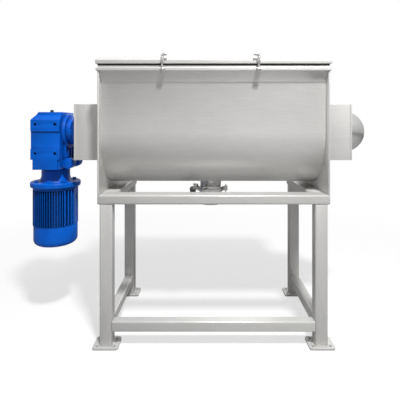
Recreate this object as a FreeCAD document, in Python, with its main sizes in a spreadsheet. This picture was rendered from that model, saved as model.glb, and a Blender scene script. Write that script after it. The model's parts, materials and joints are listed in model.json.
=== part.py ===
"""Ribbon blender of about 300 litres: U trough on a tube frame, hinged lid with two swing clamps,
clamped butterfly outlet, double ribbon agitator and a vertical helical-bevel gearmotor.

Millimetres. The origin is on the floor at the centre of the frame, +X along the shaft towards
the end cap, +Y towards the open back, +Z up.
"""
import FreeCAD, Part
import math
import os

import Sketcher

V = FreeCAD.Vector

SIZES = {
    # frame
    "frame_length": 1100,
    "frame_depth": 600,
    "frame_height": 721,
    "leg_side": 60,
    "leg_inset": 10,
    "tube_wall": 3,
    "tube_corner": 8,
    "top_rail_height": 45,
    "front_rail_depth": 90,
    "side_rail_width": 75,
    "low_rail_side": 50,
    "low_rail_height": 74,
    "foot_length": 120,
    "foot_depth": 100,
    "foot_thickness": 10,
    "foot_corner": 12,
    "foot_pitch_length": 80,
    "foot_pitch_depth": 60,
    "foot_hole": 6.5,
    "drain_radius": 3,
    # trough
    "trough_lift": 24,
    "trough_radius": 267,
    "shell_wall": 3,
    "crease_rise": 245,
    "mouth_rise": 294,
    "mouth_lap": 3,
    "end_wall": 8,
    "rim_height": 14,
    "rim_overhang": 6,
    "rim_step": 11,
    "rim_seat": 6,
    "gasket_height": 8,
    # lid
    "lid_overhang": 8,
    "lid_lip": 18,
    "lid_bevel": 15,
    "lid_sheet": 2.5,
    "lid_return": 24,
    "hinge_spread": 640,
    "hinge_knuckle": 7,
    "hinge_pin": 3.5,
    "hinge_reach": 12,
    "hinge_rise": 9,
    "hinge_eye_length": 22,
    "hinge_leaf": 3,
    "hinge_leaf_drop": 26,
    "hinge_leaf_gap": 1,
    # lid clamps
    "clamp_left": 241,
    "clamp_right": 211,
    "clamp_reach": 12,
    "clamp_pin": 4,
    "clamp_pin_head": 6,
    "clamp_ear": 5,
    "clamp_ear_gap": 11,
    "clamp_ear_radius": 8,
    "clamp_bolt": 4.5,
    "clamp_hub": 7.5,
    "clamp_hub_start": 22,
    "clamp_arm_radius": 7,
    "clamp_arm_bend": 12,
    "clamp_arm_length": 24,
    "clamp_lift": 2,
    # clearances
    "running_gap": 0.05,
    "side_gap": 0.5,
    "fit_gap": 0.3,
    "weld_lap": 2,
    # outlet
    "outlet_offset": -10,
    "outlet_bore": 54,
    "outlet_wall": 3,
    "neck_length": 40,
    "ferrule_radius": 62,
    "ferrule_height": 6,
    "ferrule_taper": 4,
    "valve_height": 84,
    "valve_waist": 66,
    "seat_wall": 3,
    "seat_height": 24,
    "disc_gap": 1,
    "disc_thickness": 6,
    "disc_edge": 2,
    "disc_hub_inset": 8,
    "disc_hub": 9,
    "stem_radius": 6,
    "stem_reach": 98,
    "stem_boss": 13,
    "boss_rise": 10,
    "lever_hub": 15,
    "lever_thickness": 14,
    "lever_tilt": 22,
    "lever_width": 14,
    "lever_length": 176,
    "grip_length": 80,
    "grip_radius": 15,
    "grip_taper": 4,
    "grip_start": 8,
    "grip_end": 12,
    "band_radius": 71,
    "band_height": 26,
    "band_split": 2,
    "band_gap": 1,
    "band_root": 4,
    "band_eye": 10,
    "lug_length": 22,
    "lug_depth": 14,
    "band_bolt": 5,
    "bolt_overhang": 8,
    "band_head": 20,
    "band_head_height": 8,
    "knob_radius": 14,
    "knob_height": 10,
    "wing_hub": 14,
    "wing_hub_radius": 10,
    "wing_start": 6,
    "wing_width": 14,
    "wing_thickness": 6,
    "wing_span": 24,
    # bearing boxes
    "box_side": 288,
    "box_length": 165,
    "box_sheet": 5,
    "cover_sheet": 10,
    "shaft_radius": 30,
    "shaft_tube": 38,
    "packing_wall": 16,
    "packing_length": 40,
    "seal_flange": 76,
    "seal_body": 60,
    "seal_length": 34,
    "seal_foot": 12,
    "bearing_radius": 50,
    "bearing_length": 30,
    "bearing_body": 66,
    "bearing_flange": 84,
    "bearing_depth": 40,
    "bearing_inset": 4,
    "bearing_rim": 12,
    "dome_radius": 112,
    "dome_sheet": 3,
    "dome_lip": 10,
    # agitator
    "ribbon_gap": 6,
    "ribbon_width": 45,
    "ribbon_thickness": 8,
    "inner_radius": 150,
    "inner_width": 36,
    "end_gap": 8,
    "centre_gap": 6,
    "spoke_radius": 11,
    "shaft_overhang": 30,
    "shaft_stub": 12,
    # gearbox
    "hub_length": 85,
    "hub_radius": 70,
    "hub_flange": 104,
    "hub_flange_length": 26,
    "hub_bolt_inset": 14,
    "hub_bolts": 6,
    "bolt_radius": 5,
    "bolt_head": 22,
    "bolt_head_height": 9,
    "gearbox_width": 151,
    "gearbox_depth": 240,
    "gearbox_top": 105,
    "gearbox_drop": 197,
    "gearbox_bevel": 25,
    "gearbox_shoulder": 64,
    "gearbox_slope": 29,
    "gearbox_slope_drop": 36,
    "gearbox_wall": 10,
    "tongue_inset": 11,
    "hub_base_radius": 92,
    "hub_base_length": 16,
    "web_depth": 14,
    "web_thickness": 8,
    "web_spread": 120,
    "web_count": 4,
    "lug_radius": 28,
    "lug_span": 52,
    "lug_spread": 156,
    "lug_web": 40,
    "pad_rise": 6,
    "pad_inset": 10,
    "upper_pad_high": 64,
    "upper_pad_low": 3,
    "lower_pad_high": 88,
    "lower_pad_low": 145,
    "pad_hole": 7,
    "pad_hole_inset": 24,
    "pad_hole_depth": 25,
    "vent_offset": 12,
    "vent_radius": 8,
    "vent_height": 12,
    "vent_head": 21,
    "vent_head_height": 5,
    # motor
    "motor_offset": 10,
    "neck_radius": 74,
    "neck_flare": 84,
    "neck_straight": 46,
    "adapter_length": 102,
    "flange_radius": 130,
    "flange_height": 28,
    "flange_edge": 4,
    "flange_bolt_inset": 24,
    "flange_bolts": 4,
    "blind_wall": 3,
    "motor_length": 205,
    "motor_tube": 101,
    "motor_bore": 92,
    "fin_radius": 117,
    "fin_thickness": 3,
    "fin_count": 13,
    "fin_arc": 76,
    "fin_root": 2,
    "rib_width": 6,
    "rib_count": 3,
    "rib_start": 44,
    "rib_arc": 20,
    "mount_pad_width": 64,
    "mount_pad_root": 94,
    "mount_pad_reach": 112,
    "mount_hole": 5,
    "mount_hole_depth": 10,
    "mount_hole_pitch": 110,
    "shield_height": 12,
    "cowl_length": 108,
    "cowl_radius": 114,
    "cowl_sheet": 2,
    "cowl_round": 30,
    "grille_slots": 20,
    "grille_start": 24,
    "grille_margin": 8,
    "grille_slot": 6,
    "rotor_radius": 62,
    "core_length": 117,
    "rotor_shaft": 14,
    "rotor_room": 4,
    "rotor_rise": 40,
    "fan_radius": 84,
    "fan_height": 34,
    "fan_gap": 30,
    "fan_hub_wall": 10,
    "fan_blade": 4,
    "fan_blades": 8,
    "stator_radius": 63,
    "terminal_length": 110,
    "terminal_height": 110,
    "terminal_depth": 55,
    "terminal_corner": 12,
    "terminal_sink": 4,
    "terminal_lid": 8,
    "gland_nut": 30,
    "gland_nut_height": 8,
    "gland_radius": 11,
    "gland_length": 22,
}

doc = FreeCAD.newDocument("RibbonBlender")
sheet = doc.addObject("Spreadsheet::Sheet", "Sizes")
for row, (alias, number) in enumerate(SIZES.items(), start=1):
    sheet.set(f"A{row}", alias)
    sheet.set(f"B{row}", str(number))
    sheet.setAlias(f"B{row}", alias)
doc.recompute()

nodes = []


class Size:
    """Spreadsheet arithmetic: the expression that a property is bound to, and its value."""

    def __init__(self, text, value):
        self.text = text
        self.value = value

    def __add__(self, other):
        other = size(other)
        return Size(f"({self.text} + {other.text})", self.value + other.value)

    def __sub__(self, other):
        other = size(other)
        return Size(f"({self.text} - {other.text})", self.value - other.value)

    def __mul__(self, other):
        other = size(other)
        return Size(f"({self.text} * {other.text})", self.value * other.value)

    def __truediv__(self, other):
        other = size(other)
        return Size(f"({self.text} / {other.text})", self.value / other.value)

    def __radd__(self, other):
        return size(other) + self

    def __rsub__(self, other):
        return size(other) - self

    def __rmul__(self, other):
        return size(other) * self

    def __neg__(self):
        return Size(f"(0 - {self.text})", -self.value)


class Sheet:
    """The spreadsheet's aliases as Size values, such as S.frame_length."""

    def __getattr__(self, alias):
        return Size(f"Sizes.{alias}", float(getattr(sheet, alias)))


S = Sheet()


def size(number):
    """A plain number as a Size."""
    if isinstance(number, Size):
        return number
    return Size(f"({number})", float(number))


# ---------------------------------------------------------------- building blocks

def tie(obj, prop, amount):
    """Bind a property to spreadsheet arithmetic."""
    obj.setExpression(prop, size(amount).text)


def place(obj, x=0, y=0, z=0):
    """Bind an object's position."""
    for letter, amount in zip("xyz", (x, y, z)):
        tie(obj, f"Placement.Base.{letter}", amount)
    return obj


def node(label, obj):
    """Make an object a finished piece, whose label names its file."""
    obj.Label = label
    nodes.append(obj)
    return obj


TURN = {
    "+X": FreeCAD.Rotation(V(0, 1, 0), 90),
    "-X": FreeCAD.Rotation(V(0, 1, 0), -90),
    "+Y": FreeCAD.Rotation(V(1, 0, 0), -90),
    "-Y": FreeCAD.Rotation(V(1, 0, 0), 90),
    "+Z": FreeCAD.Rotation(),
    "-Z": FreeCAD.Rotation(V(1, 0, 0), 180),
}


def stand(obj, direction, x, y, z):
    """Turn an object's own Z axis to a direction and bind its position."""
    obj.Placement = FreeCAD.Placement(V(0, 0, 0), TURN[direction])
    return place(obj, x, y, z)


def block(x, y, z):
    """A box between low and high values along each axis."""
    made = doc.addObject("Part::Box", "Block")
    tie(made, "Length", x[1] - size(x[0]))
    tie(made, "Width", y[1] - size(y[0]))
    tie(made, "Height", z[1] - size(z[0]))
    return place(made, x[0], y[0], z[0])


def rod(direction, radius, length, x, y, z):
    """A cylinder that starts at a point and runs along a direction."""
    made = doc.addObject("Part::Cylinder", "Rod")
    tie(made, "Radius", radius)
    tie(made, "Height", length)
    return stand(made, direction, x, y, z)


def hexagon(direction, across, length, x, y, z):
    """A hexagonal prism, across its corners."""
    made = doc.addObject("Part::Prism", "Hexagon")
    made.Polygon = 6
    tie(made, "Circumradius", across / size(2))
    tie(made, "Height", length)
    return stand(made, direction, x, y, z)


def wedge(low, high, bottom, top):
    """A pyramid stump between two centred rectangles, given as half lengths and half depths."""
    made = doc.addObject("Part::Wedge", "Wedge")
    tie(made, "Xmin", -bottom[0])
    tie(made, "Xmax", bottom[0])
    tie(made, "Zmin", -bottom[1])
    tie(made, "Zmax", bottom[1])
    tie(made, "X2min", -top[0])
    tie(made, "X2max", top[0])
    tie(made, "Z2min", -top[1])
    tie(made, "Z2max", top[1])
    tie(made, "Ymin", 0)
    tie(made, "Ymax", high - low)
    return stand(made, "-Y", 0, 0, low)


def quarter_bend(bend, radius, way, x, y, z):
    """A round bar's bend from straight up to level, towards +X or -X."""
    made = doc.addObject("Part::Torus", "Elbow")
    tie(made, "Radius1", bend)
    tie(made, "Radius2", radius)
    made.Angle3 = 90
    upright = FreeCAD.Rotation(V(1, 0, 0), 90)
    turn = upright if way < 0 else FreeCAD.Rotation(V(0, 0, 1), V(-1, 0, 0), V(0, -1, 0))
    made.Placement = FreeCAD.Placement(V(0, 0, 0), turn)
    return place(made, x + bend * way, y, z)


def fuse(*shapes):
    """One solid from overlapping or touching ones."""
    made = doc.addObject("Part::MultiFuse", "Fusion")
    made.Shapes = list(shapes)
    made.Refine = True
    return made


def cut(base, *tools):
    """The base without the tools."""
    made = doc.addObject("Part::Cut", "Cut")
    made.Base = base
    made.Tool = tools[0] if len(tools) == 1 else group(*tools)
    made.Refine = True
    return made


def common(*shapes):
    """What the shapes share."""
    made = doc.addObject("Part::MultiCommon", "Common")
    made.Shapes = list(shapes)
    return made


def group(*shapes):
    """Several separate solids that share one node."""
    made = doc.addObject("Part::Compound", "Group")
    made.Links = list(shapes)
    return made


def box_path(half_length, half_depth, corner=None, x=0, y=0):
    """A rectangle about a point, with round corners if a corner radius is given."""
    left, right, low, high = x - half_length, x + half_length, y - half_depth, y + half_depth
    if corner is None:
        return [(left, low), (right, low), (right, high), (left, high)]
    return [
        (left + corner, low), (right - corner, low, (right - corner, low + corner)),
        (right, low + corner), (right, high - corner, (right - corner, high - corner)),
        (right - corner, high), (left + corner, high, (left + corner, high - corner)),
        (left, high - corner), (left, low + corner, (left + corner, low + corner)),
    ]


def draw(body, plane, *paths):
    """Sketch closed paths on one of the body's own planes, every point bound to the sheet.

    A path is a list of points. A point with a centre starts an arc about it, counter-clockwise,
    or clockwise if "back" follows the centre. A path ("circle", radius, x, y) is a full circle.
    """
    sketch = body.newObject("Sketcher::SketchObject", "Sketch")
    plane = [feature for feature in body.Origin.OriginFeatures if feature.Role == plane][0]
    sketch.AttachmentSupport = [(plane, "")]
    sketch.MapMode = "FlatFace"

    def bind(kind, *where):
        """A driving dimension with an expression."""
        amount = size(where[-1])
        number = sketch.addConstraint(Sketcher.Constraint(kind, *where[:-1], amount.value))
        sketch.setExpression(f"Constraints[{number}]", amount.text)

    for path in paths:
        if path[0] == "circle":
            radius, x, y = (size(amount) for amount in path[1:])
            circle = Part.Circle(V(x.value, y.value, 0), V(0, 0, 1), radius.value)
            edge = sketch.addGeometry(circle)
            bind("Radius", edge, radius)
            bind("DistanceX", -1, 1, edge, 3, x)
            bind("DistanceY", -1, 1, edge, 3, y)
            continue
        edges = []
        for index, point in enumerate(path):
            start = V(size(point[0]).value, size(point[1]).value, 0)
            after = path[(index + 1) % len(path)]
            end = V(size(after[0]).value, size(after[1]).value, 0)
            if len(point) == 2:
                edges.append((sketch.addGeometry(Part.LineSegment(start, end)), 1, 2))
                continue
            centre = V(size(point[2][0]).value, size(point[2][1]).value, 0)
            back = len(point) == 4
            first, last = (end, start) if back else (start, end)
            angle = math.atan2(first.y - centre.y, first.x - centre.x)
            sweep = (math.atan2(last.y - centre.y, last.x - centre.x) - angle) % (2 * math.pi)
            circle = Part.Circle(centre, V(0, 0, 1), (start - centre).Length)
            arc = sketch.addGeometry(Part.ArcOfCircle(circle, angle, angle + sweep))
            edges.append((arc, 2, 1) if back else (arc, 1, 2))
        for index, (edge, begin, finish) in enumerate(edges):
            follower, its_begin, _ = edges[(index + 1) % len(edges)]
            sketch.addConstraint(Sketcher.Constraint("Coincident", edge, finish, follower, its_begin))
        for index, (edge, begin, finish) in enumerate(edges):
            bind("DistanceX", -1, 1, edge, begin, path[index][0])
            bind("DistanceY", -1, 1, edge, begin, path[index][1])
        for index, point in enumerate(path):
            if len(point) > 2:
                after = path[(index + 1) % len(path)]
                run = abs(size(after[0]).value - size(point[0]).value)
                rise = abs(size(after[1]).value - size(point[1]).value)
                if run > rise:
                    bind("DistanceY", -1, 1, edges[index][0], 3, point[2][1])
                else:
                    bind("DistanceX", -1, 1, edges[index][0], 3, point[2][0])
    return sketch


def new_body():
    """An empty PartDesign body."""
    return doc.addObject("PartDesign::Body", "Body")


def pad(body, sketch, length, middle=False, back=False):
    """Thicken a sketch."""
    made = body.newObject("PartDesign::Pad", "Pad")
    made.Profile = sketch
    made.SideType = "Symmetric" if middle else "One side"
    made.Reversed = back
    tie(made, "Length", length)
    return made


def pocket(body, sketch, length, middle=False, back=False):
    """Cut a sketch into the solid."""
    made = body.newObject("PartDesign::Pocket", "Pocket")
    made.Profile = sketch
    made.SideType = "Symmetric" if middle else "One side"
    made.Reversed = back
    tie(made, "Length", length)
    return made


def revolve(body, sketch):
    """Turn a sketch about its vertical axis."""
    made = body.newObject("PartDesign::Revolution", "Revolution")
    made.Profile = sketch
    made.ReferenceAxis = (sketch, ["V_Axis"])
    made.Angle = 360
    return made


def around(body, feature, sketch, count, angle=360):
    """Repeat a feature round the axis square to its sketch, over a full turn or an arc."""
    made = body.newObject("PartDesign::PolarPattern", "PolarPattern")
    made.Originals = [feature]
    made.Axis = (sketch, ["N_Axis"])
    tie(made, "Angle", angle)
    tie(made, "Occurrences", count)
    body.Tip = made
    return made


def turned(direction, path, x, y, z):
    """A lathe part: radius and height points turned about its own axis."""
    body = new_body()
    revolve(body, draw(body, "XZ_Plane", path))
    return stand(body, direction, x, y, z)


def ring_path(inner, outer, low, high):
    """The section of a plain ring."""
    return [(inner, low), (outer, low), (outer, high), (inner, high)]


def ray(angle, low, high, width):
    """The outline of a bar that runs outwards at an angle, between two radii."""
    across, along = round(math.sin(math.radians(angle)), 6), round(math.cos(math.radians(angle)), 6)
    half = width / 2
    return [(radius * along + half * across * side, radius * across - half * along * side)
            for radius, side in ((low, 1), (high, 1), (high, -1), (low, -1))]


def flat(direction, thickness, *paths, x=0, y=0, z=0):
    """A plate: closed paths thickened along a direction."""
    body = new_body()
    pad(body, draw(body, "XY_Plane", *paths), thickness)
    return stand(body, direction, x, y, z)


def tube(direction, length, width, depth, x, y, z):
    """A rectangular tube with round corners."""
    outside = box_path(width / 2, depth / 2, S.tube_corner)
    inside = box_path(width / 2 - S.tube_wall, depth / 2 - S.tube_wall, S.tube_corner - S.tube_wall)
    return flat(direction, length, outside, inside, x=x, y=y, z=z)


def cap(direction, width, depth, x, y, z):
    """The welded cap in a tube's end: it starts at a point and fills one wall's thickness."""
    half = size(1) / 2
    inside = box_path(width * half - S.tube_wall, depth * half - S.tube_wall, S.tube_corner - S.tube_wall)
    return flat(direction, S.tube_wall, inside, x=x, y=y, z=z)


# ---------------------------------------------------------------- shared places

half_length = S.frame_length / 2
half_depth = S.frame_depth / 2
leg_x = half_length - S.leg_inset - S.leg_side / 2
leg_y = half_depth - S.leg_side / 2
rail_base = S.frame_height - S.top_rail_height
shell_outer = S.trough_radius + S.shell_wall
axis_height = S.frame_height + S.trough_lift + shell_outer
inner_end = half_length - S.end_wall
mouth_height = axis_height + S.mouth_rise
rim_top = mouth_height + S.rim_height
rim_length = half_length + S.rim_overhang
rim_depth = half_depth + S.rim_overhang
seat_top = rim_top + S.rim_step
lid_base = seat_top + S.gasket_height
lid_length = half_length + S.lid_overhang
lid_depth = half_depth + S.lid_overhang
box_end = half_length + S.box_length
outlet_x = S.outlet_offset
joint_height = axis_height - shell_outer - S.neck_length
stem_height = joint_height - S.valve_height / 2
gearbox_right = -box_end - S.hub_length
gearbox_x = gearbox_right - S.gearbox_width / 2
motor_x = gearbox_x + S.motor_offset
gearbox_base = axis_height - S.gearbox_drop
flange_top = gearbox_base - S.adapter_length + S.flange_height
flange_base = flange_top - S.flange_height
motor_base = flange_base - S.motor_length
sides = (("left", -1), ("right", 1))


# ---------------------------------------------------------------- frame

def make_frame():
    """Four legs, the rails between them and a drilled plate under each leg."""
    feet = []
    for end, row in (("front", -1), ("rear", 1)):
        for side, column in sides:
            leg_length = rail_base - S.foot_thickness
            node(f"leg_{end}_{side}", tube("+Z", leg_length, S.leg_side, S.leg_side,
                                           leg_x * column, leg_y * row, S.foot_thickness))
            holes = [("circle", S.foot_hole, S.foot_pitch_length / 2 * a, S.foot_pitch_depth / 2 * b)
                     for a in (-1, 1) for b in (-1, 1)]
            outline = box_path(S.foot_length / 2, S.foot_depth / 2, S.foot_corner)
            feet.append(flat("+Z", S.foot_thickness, outline, *holes,
                             x=leg_x * column, y=leg_y * row))
    node("foot_plates", group(*feet))

    top_middle = S.frame_height - S.top_rail_height / 2
    front_y = -half_depth + S.front_rail_depth / 2
    front = (S.top_rail_height, S.front_rail_depth)
    drain = rod("+Z", S.drain_radius, S.tube_wall * 2, 0, front_y, rail_base - S.tube_wall / 2)
    node("top_rail_front", cut(fuse(
        tube("+X", S.frame_length, *front, -half_length, front_y, top_middle),
        cap("+X", *front, -half_length, front_y, top_middle),
        cap("-X", *front, half_length, front_y, top_middle)), drain))
    low_middle = S.low_rail_height + S.low_rail_side / 2
    low_inset = half_depth - S.low_rail_side / 2
    node("low_rail_front", tube("+X", leg_x * 2 - S.leg_side, S.low_rail_side, S.low_rail_side,
                                -leg_x + S.leg_side / 2, -low_inset, low_middle))
    for side, column in sides:
        rail_x = (half_length - S.side_rail_width / 2) * column
        section = (S.side_rail_width, S.top_rail_height)
        node(f"top_rail_{side}", fuse(
            tube("+Y", S.frame_depth - S.front_rail_depth, *section, rail_x,
                 -half_depth + S.front_rail_depth, top_middle),
            cap("-Y", *section, rail_x, half_depth, top_middle)))
        node(f"low_rail_{side}", tube("+Y", leg_y * 2 - S.leg_side, S.low_rail_side,
                                      S.low_rail_side, leg_x * column,
                                      -leg_y + S.leg_side / 2, low_middle))


# ---------------------------------------------------------------- trough

def make_trough():
    """Bent shell, end plates, stepped rim and gasket."""
    outer_mouth = half_depth - S.mouth_lap
    inner_mouth = outer_mouth - S.shell_wall
    inside = S.trough_radius
    centre = (0, 0)
    body = new_body()
    section = draw(body, "YZ_Plane", [
        (shell_outer, 0), (shell_outer, S.crease_rise), (outer_mouth, S.mouth_rise),
        (inner_mouth, S.mouth_rise), (inside, S.crease_rise), (inside, 0, centre, "back"),
        (-inside, 0), (-inside, S.crease_rise), (-inner_mouth, S.mouth_rise),
        (-outer_mouth, S.mouth_rise), (-shell_outer, S.crease_rise), (-shell_outer, 0, centre)])
    pad(body, section, inner_end * 2, middle=True)
    place(body, 0, 0, axis_height)
    hole = rod("-Z", S.outlet_bore, shell_outer, outlet_x, 0, axis_height)
    node("trough_shell", cut(body, hole))

    plate_low = S.frame_height - axis_height
    plate = [(-half_depth, plate_low), (half_depth, plate_low),
             (half_depth, S.mouth_rise), (-half_depth, S.mouth_rise)]
    for side, column in sides:
        body = new_body()
        shaft_hole = ("circle", S.shaft_radius + S.packing_wall, 0, 0)
        pad(body, draw(body, "YZ_Plane", plate, shaft_hole), S.end_wall, back=column > 0)
        node(f"end_plate_{side}", place(body, half_length * column, 0, axis_height))

    body = new_body()
    opening = box_path(inner_end, inner_mouth)
    lower = draw(body, "XY_Plane", box_path(rim_length, rim_depth), opening)
    pad(body, lower, S.rim_height)
    seat = draw(body, "XY_Plane", box_path(inner_end + S.rim_seat, inner_mouth + S.rim_seat), opening)
    pad(body, seat, S.rim_height + S.rim_step)
    node("trough_rim", place(body, 0, 0, mouth_height))
    node("lid_gasket", flat("+Z", S.gasket_height,
                            box_path(inner_end + S.rim_seat, inner_mouth + S.rim_seat), opening,
                            z=seat_top))


# ---------------------------------------------------------------- lid and hinges

hinge_y = lid_depth + S.hinge_reach
hinge_z = lid_base + S.hinge_rise


def make_lid():
    """Folded pan lid: lip, bevelled edge, flat top and a return flange on the gasket."""
    lip_top = lid_base + S.lid_lip
    lid_top = lip_top + S.lid_bevel
    skin = S.lid_sheet
    outside = fuse(
        block((-lid_length, lid_length), (-lid_depth, lid_depth), (lid_base, lip_top)),
        wedge(lip_top, lid_top, (lid_length, lid_depth),
              (lid_length - S.lid_bevel, lid_depth - S.lid_bevel)))
    hollow = fuse(
        block((skin - lid_length, lid_length - skin), (skin - lid_depth, lid_depth - skin),
              (lid_base + skin, lip_top)),
        wedge(lip_top, lid_top - skin, (lid_length - skin, lid_depth - skin),
              (lid_length - S.lid_bevel, lid_depth - S.lid_bevel)))
    open_length = lid_length - S.lid_return
    open_depth = lid_depth - S.lid_return
    mouth = block((-open_length, open_length), (-open_depth, open_depth),
                  (lid_base, lid_base + skin * 2))
    node("lid", cut(outside, hollow, mouth))


def make_hinges():
    """Two three-knuckle hinges behind the lid, each with its pin."""
    fixed, moving, pins = [], [], []
    bore = S.hinge_pin + S.running_gap
    pitch = S.hinge_eye_length + S.side_gap
    for _, column in sides:
        left = S.hinge_spread / 2 * column - S.hinge_eye_length * 1.5 - S.side_gap
        right = left + pitch * 3 - S.side_gap
        drill = rod("+X", bore, right - left, left, hinge_y, hinge_z)
        shelf = lid_base - S.hinge_leaf_gap
        leaf = block((left, right), (rim_depth, rim_depth + S.hinge_leaf),
                     (shelf - S.hinge_leaf_drop, shelf))
        pieces = [leaf]
        for start in (left, left + pitch * 2):
            span = (start, start + S.hinge_eye_length)
            pieces.append(block(span, (rim_depth, hinge_y), (shelf - S.hinge_leaf, shelf)))
            pieces.append(block(span, (hinge_y - S.hinge_leaf, hinge_y), (shelf - S.hinge_leaf, hinge_z)))
            pieces.append(rod("+X", S.hinge_knuckle, S.hinge_eye_length, start, hinge_y, hinge_z))
        fixed.append(cut(fuse(*pieces), drill))
        middle = left + pitch
        span = (middle, middle + S.hinge_eye_length)
        half = S.hinge_leaf / 2
        strap = block(span, (lid_depth, hinge_y), (hinge_z - half, hinge_z + half))
        leaf = block((left, right), (lid_depth, lid_depth + S.hinge_leaf),
                     (lid_base + S.hinge_leaf_gap, lid_base + S.lid_lip - S.hinge_leaf_gap))
        eye = rod("+X", S.hinge_knuckle, S.hinge_eye_length, middle, hinge_y, hinge_z)
        moving.append(cut(fuse(leaf, strap, eye), drill))
        pins.append(rod("+X", S.hinge_pin, right - left, left, hinge_y, hinge_z))
    node("hinge_brackets", group(*fixed))
    node("hinge_leaves", group(*moving))
    node("hinge_pins", group(*pins))


# ---------------------------------------------------------------- lid clamps

clamp_y = -rim_depth - S.clamp_reach
clamp_z = mouth_height + S.rim_height / 2
lid_top = lid_base + S.lid_lip + S.lid_bevel


def make_clamps():
    """Clevis on the rim, swing bolt on its pin and a turning arm over the lid's edge."""
    brackets, pins = [], []
    for side, column in sides:
        x = S.clamp_right if column > 0 else -S.clamp_left
        half_gap = S.clamp_ear_gap / 2
        half_width = half_gap + S.clamp_ear
        ears = []
        for low, high in ((-half_width, -half_gap), (half_gap, half_width)):
            ears.append(block((x + low, x + high), (clamp_y, -rim_depth),
                              (clamp_z - S.clamp_ear_radius, clamp_z + S.clamp_ear_radius)))
            ears.append(rod("+X", S.clamp_ear_radius, high - low, x + low, clamp_y, clamp_z))
        back = block((x - half_width, x + half_width), (-rim_depth - S.hinge_leaf, -rim_depth),
                     (mouth_height - S.rim_height / 2, rim_top))
        drill = rod("+X", S.clamp_pin + S.running_gap, half_width * 2, x - half_width, clamp_y, clamp_z)
        brackets.append(cut(fuse(back, *ears), drill))
        head = S.clamp_ear / 2
        pins.append(fuse(
            rod("+X", S.clamp_pin, half_width * 2 + head, x - half_width, clamp_y, clamp_z),
            rod("+X", S.clamp_pin_head, head, x - half_width - head, clamp_y, clamp_z),
            rod("+X", S.clamp_pin_head, head, x + half_width, clamp_y, clamp_z)))

        bend_base = lid_top + S.clamp_lift + S.clamp_arm_radius - S.clamp_arm_bend
        bolt_top = bend_base - S.clamp_arm_radius
        eye_length = S.clamp_ear_gap - S.side_gap * 2
        eye = rod("+X", S.clamp_ear_radius - S.side_gap, eye_length, x - eye_length / 2, clamp_y, clamp_z)
        shank = rod("+Z", S.clamp_bolt, bolt_top - clamp_z, x, clamp_y, clamp_z)
        node(f"clamp_bolt_{side}", cut(fuse(eye, shank), drill))

        sleeve = rod("+Z", S.clamp_hub, bend_base - clamp_z - S.clamp_hub_start,
                     x, clamp_y, clamp_z + S.clamp_hub_start)
        elbow = quarter_bend(S.clamp_arm_bend, S.clamp_arm_radius, -column, x, clamp_y, bend_base)
        arm = rod("+X" if column < 0 else "-X", S.clamp_arm_radius,
                  S.clamp_arm_length - S.clamp_arm_bend, x - S.clamp_arm_bend * column, clamp_y,
                  bend_base + S.clamp_arm_bend)
        bore = rod("+Z", S.clamp_bolt + S.running_gap, bolt_top + S.fit_gap - clamp_z,
                   x, clamp_y, clamp_z)
        node(f"clamp_arm_{side}", cut(fuse(sleeve, elbow, arm), bore))
    node("clamp_brackets", group(*brackets))
    node("clamp_pins", group(*pins))


# ---------------------------------------------------------------- outlet and valve

def make_outlet():
    """Neck, two-part band clamp with wing nut, and the butterfly valve that it holds."""
    bore = S.outlet_bore
    pipe = bore + S.outlet_wall
    reach = S.neck_length + S.trough_radius / 2
    neck = turned("+Z", [(bore, 0), (S.ferrule_radius, 0), (S.ferrule_radius, S.ferrule_height / 2),
                         (pipe, S.ferrule_height / 2 + S.ferrule_taper), (pipe, reach), (bore, reach)],
                  outlet_x, 0, joint_height)
    drum = rod("+X", shell_outer, S.frame_length, -half_length, 0, axis_height)
    node("outlet_neck", cut(neck, drum))

    lip = S.ferrule_height / 2
    taper = lip + S.ferrule_taper
    height = S.valve_height
    shoulder = (height - S.seat_height) / 2 - S.ferrule_taper
    seat_bore = bore - S.seat_wall
    half = height / 2
    valve = turned("+Z", [
        (bore, -half), (S.ferrule_radius, -half), (S.ferrule_radius, lip - half),
        (pipe, taper - half), (pipe, shoulder - half - S.ferrule_taper),
        (S.valve_waist, shoulder - half), (S.valve_waist, half - shoulder),
        (pipe, half - shoulder + S.ferrule_taper), (pipe, half - taper),
        (S.ferrule_radius, half - lip), (S.ferrule_radius, half), (bore, half)],
        outlet_x, 0, stem_height)
    boss = rod("-X", S.stem_boss, S.valve_waist + S.boss_rise, outlet_x, 0, stem_height)
    bore_rod = rod("+Z", bore, height, outlet_x, 0, joint_height - height)
    hole = S.stem_radius + S.running_gap
    stem_hole = rod("-X", hole, S.stem_reach, outlet_x + seat_bore, 0, stem_height)
    stem_hole_left = rod("-X", hole, S.stem_reach, outlet_x, 0, stem_height)
    node("valve_body", cut(fuse(cut(valve, bore_rod), cut(boss, bore_rod)), stem_hole, stem_hole_left))
    seat_half = S.seat_height / 2
    seat = turned("+Z", ring_path(seat_bore, bore, -seat_half, seat_half), outlet_x, 0, stem_height)
    node("valve_seat", cut(seat, stem_hole, stem_hole_left))

    disc_radius = seat_bore - S.disc_gap
    edge = S.disc_edge / 2
    disc = turned("+Z", [(0, -S.disc_thickness / 2), (disc_radius, -edge), (disc_radius, edge),
                         (0, S.disc_thickness / 2)], outlet_x, 0, stem_height)
    hub_half = disc_radius - S.disc_hub_inset
    hub = rod("+X", S.disc_hub, hub_half * 2, outlet_x - hub_half, 0, stem_height)
    stem = rod("-X", S.stem_radius, S.stem_reach + seat_bore, outlet_x + seat_bore, 0, stem_height)
    node("valve_disc", fuse(disc, hub, stem))


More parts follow.
